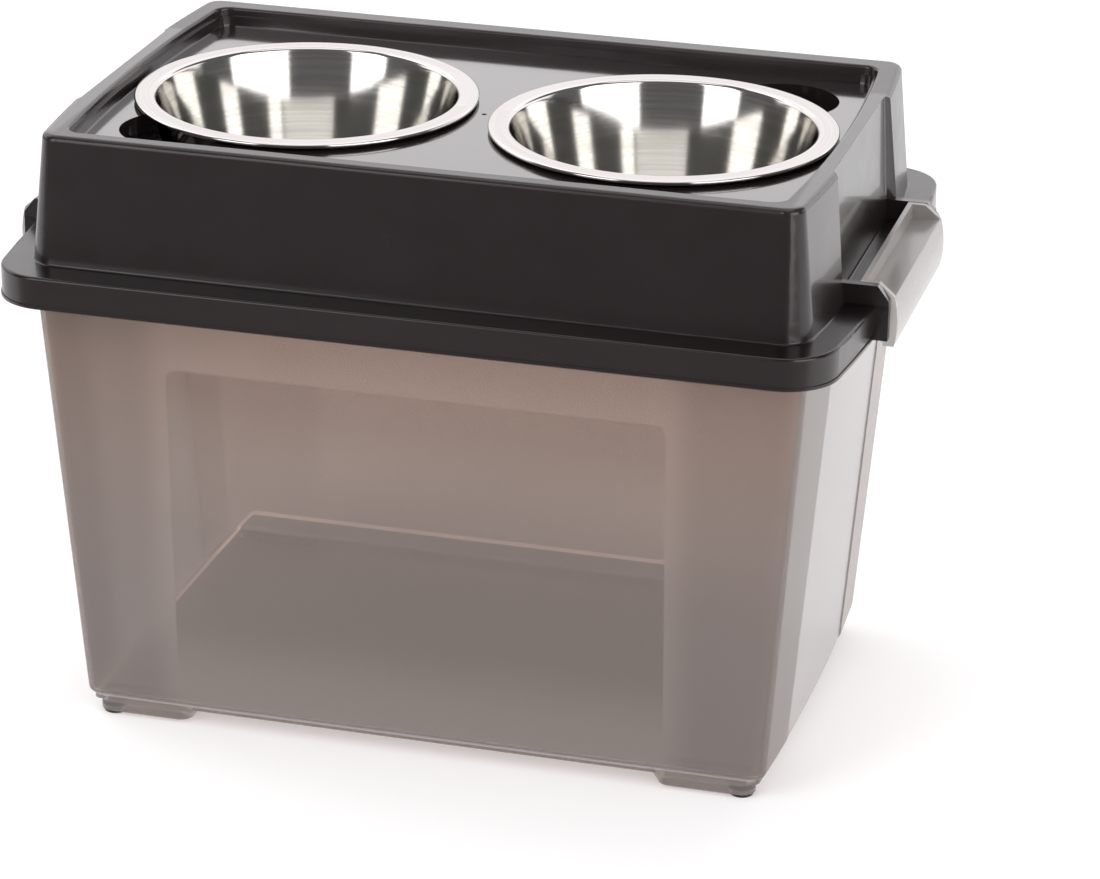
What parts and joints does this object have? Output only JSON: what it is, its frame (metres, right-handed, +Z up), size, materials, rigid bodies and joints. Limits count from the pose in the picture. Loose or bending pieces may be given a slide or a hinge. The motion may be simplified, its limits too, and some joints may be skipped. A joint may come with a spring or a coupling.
{
  "type": "elevated dog feeder with storage",
  "caption": "Raised pet feeder: tapered translucent food storage tub with a black lid that holds two lift-out steel bowls, closed by a swing latch on each short side.",
  "frame": {"origin": "on the floor under the middle of the feeder, at the bottom centre of its box", "axes": "+X along the length, to the right seen from the front; +Y towards the back; +Z up"},
  "size_m": [0.5468, 0.363, 0.382],
  "materials": {
    "smoke_plastic": "translucent smoke polypropylene, frosted, with a clear window in the front wall",
    "black_plastic": "black polypropylene, satin gloss",
    "gasket_foam": "soft closed-cell seal, matt",
    "polished_steel": "polished stainless steel",
    "clear_smoke_plastic": "translucent light smoke plastic, glossy",
    "pad_rubber": "black rubber, matt"
  },
  "bodies": {
    "tub_body": {"tub": "smoke_plastic", "foot_pad_front_left": "pad_rubber", "foot_pad_front_right": "pad_rubber", "foot_pad_rear_left": "pad_rubber", "foot_pad_rear_right": "pad_rubber"},
    "lid_body": {"lid": "black_plastic", "gasket": "gasket_foam"},
    "left_bowl": {"bowl_left": "polished_steel"},
    "right_bowl": {"bowl_right": "polished_steel"},
    "left_latch": {"latch_left": "clear_smoke_plastic"},
    "right_latch": {"latch_right": "clear_smoke_plastic"}
  },
  "joints": [
    {"name": "lid_lift", "type": "slide", "parent": "tub_body", "child": "lid_body", "axis": [0, 0, 1], "range_m": [0, 0.06]},
    {"name": "bowl_left_lift", "type": "slide", "parent": "lid_body", "child": "left_bowl", "axis": [0, 0, 1], "range_m": [0, 0.09]},
    {"name": "bowl_right_lift", "type": "slide", "parent": "lid_body", "child": "right_bowl", "axis": [0, 0, 1], "range_m": [0, 0.09]},
    {"name": "latch_left_swing", "type": "hinge", "parent": "lid_body", "child": "left_latch", "pos_m": [-0.2535, 0, 0.3105], "axis": [0, 1, 0], "range_deg": [-4, 120]},
    {"name": "latch_right_swing", "type": "hinge", "parent": "lid_body", "child": "right_latch", "pos_m": [0.2535, 0, 0.3105], "axis": [0, -1, 0], "range_deg": [-4, 120]}
  ]
}
